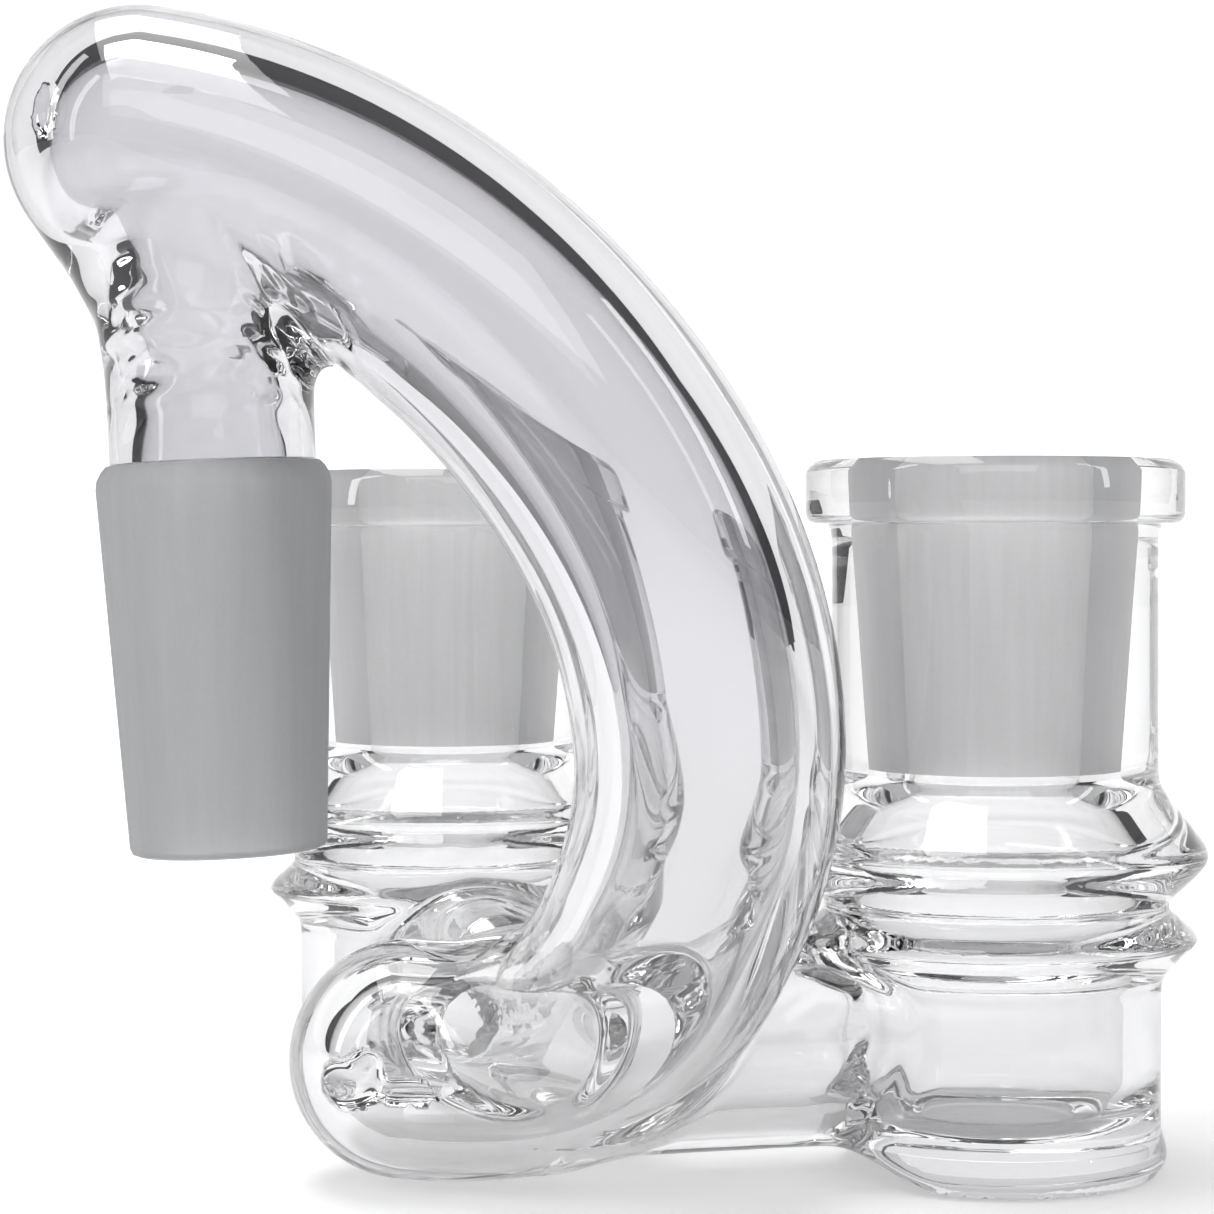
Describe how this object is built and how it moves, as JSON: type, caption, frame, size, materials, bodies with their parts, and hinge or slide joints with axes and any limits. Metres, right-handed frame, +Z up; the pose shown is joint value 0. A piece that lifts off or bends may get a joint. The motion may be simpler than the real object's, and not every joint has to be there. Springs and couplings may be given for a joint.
{
  "type": "glass drop-down adapter",
  "caption": "Clear glass drop-down adapter: a ground male joint hangs from a bent, closed-end arch tube that feeds ringed cups with ground female sockets.",
  "frame": {"origin": "centre of the right cup's flat base, on the standing plane", "axes": "+Z up along the right cup's axis, +X to the right along the front, +Y away from the front"},
  "size_m": [0.0803, 0.0923, 0.078],
  "materials": {
    "clear_glass": "clear polished",
    "ground_glass": "frosted, ground"
  },
  "bodies": {
    "root": {"arch_bow": "clear_glass", "arch_crown": "clear_glass", "arch_heel": "clear_glass", "arch_shoulder": "clear_glass", "arch_toe_dome": "clear_glass", "arch_top_dome": "clear_glass", "left_arm": "clear_glass", "left_base": "clear_glass", "left_lip": "clear_glass", "left_lower_ring": "clear_glass", "left_socket": "ground_glass", "left_upper_ring": "clear_glass", "left_well": "clear_glass", "male_joint": "ground_glass", "male_neck": "clear_glass", "right_arm": "clear_glass", "right_base": "clear_glass", "right_lip": "clear_glass", "right_lower_ring": "clear_glass", "right_socket": "ground_glass", "right_upper_ring": "clear_glass", "right_well": "clear_glass"}
  },
  "joints": []
}
